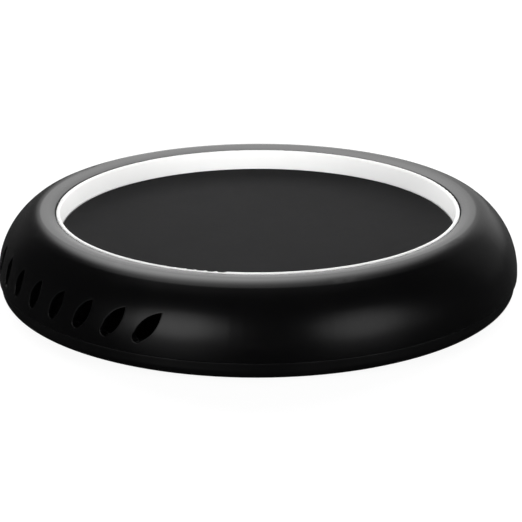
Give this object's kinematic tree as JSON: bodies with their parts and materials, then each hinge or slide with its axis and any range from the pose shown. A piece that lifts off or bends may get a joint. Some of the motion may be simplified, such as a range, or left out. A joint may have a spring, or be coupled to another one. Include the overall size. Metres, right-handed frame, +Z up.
{
  "type": "electric mug warmer",
  "caption": "Round electric mug warmer: low domed body with side vents, a dished hot plate in a ring-lined recess, a rear rocker switch and a cord gland.",
  "frame": {"origin": "on the table under the body's axis, at the bottom of the rubber feet", "axes": "+Z up out of the hot plate, +Y to the rear where the cord gland is, -Y to the front, +X to the side that the rocker switch is nearer to"},
  "size_m": [0.13, 0.1298, 0.022],
  "materials": {
    "black_housing": "satin",
    "black_base": "fine texture",
    "white_ring": "satin",
    "plate_coating": "dark non-stick coating",
    "silicone": "matt",
    "mica": "pearly",
    "resistance_foil": "rolled",
    "zinc_steel": "zinc plated",
    "fibre": "felted",
    "shield_aluminium": "rolled",
    "ceramic": "unglazed",
    "brass": "stamped",
    "fuse_can": "drawn",
    "glass_sleeve": "braided",
    "screw_steel": "plated",
    "switch_black": "satin",
    "rocker_black": "semi-gloss",
    "gland_rubber": "matt",
    "clamp_nylon": "moulded",
    "block_nylon": "moulded",
    "wire_insulation": "smooth",
    "foot_rubber": "matt"
  },
  "bodies": {
    "body": {"upper_housing": "black_housing", "base_cover": "black_base", "trim_ring": "white_ring", "heating_plate": "plate_coating", "plate_studs": "zinc_steel", "plate_gasket": "silicone", "upper_mica_sheet": "mica", "heating_element": "resistance_foil", "lower_mica_sheet": "mica", "clamp_plate": "zinc_steel", "insulation_pad": "fibre", "heat_shield": "shield_aluminium", "stud_nuts": "zinc_steel", "element_pins": "brass", "lead_bushings": "ceramic", "thermostat": "ceramic", "thermostat_strap": "zinc_steel", "thermal_fuse": "fuse_can", "fuse_sleeve": "glass_sleeve", "fuse_strap": "zinc_steel", "strap_screws": "screw_steel", "switch_body": "switch_black", "rocker_pin": "zinc_steel", "switch_terminals": "brass", "cord_gland": "gland_rubber", "cord_clamp_bar": "clamp_nylon", "cord_clamp_screws": "screw_steel", "terminal_block": "block_nylon", "terminal_tubes": "brass", "terminal_screws": "screw_steel", "internal_wires": "wire_insulation", "ring_screws": "screw_steel", "cover_screws": "screw_steel", "rubber_feet": "foot_rubber"},
    "rocker": {"switch_rocker": "rocker_black"}
  },
  "joints": [
    {"name": "rocker_tilt", "type": "hinge", "parent": "body", "child": "rocker", "pos_m": [0.02059, 0.05657, 0.0122], "axis": [0.9397, -0.342, 0], "range_deg": [0, 18]}
  ]
}
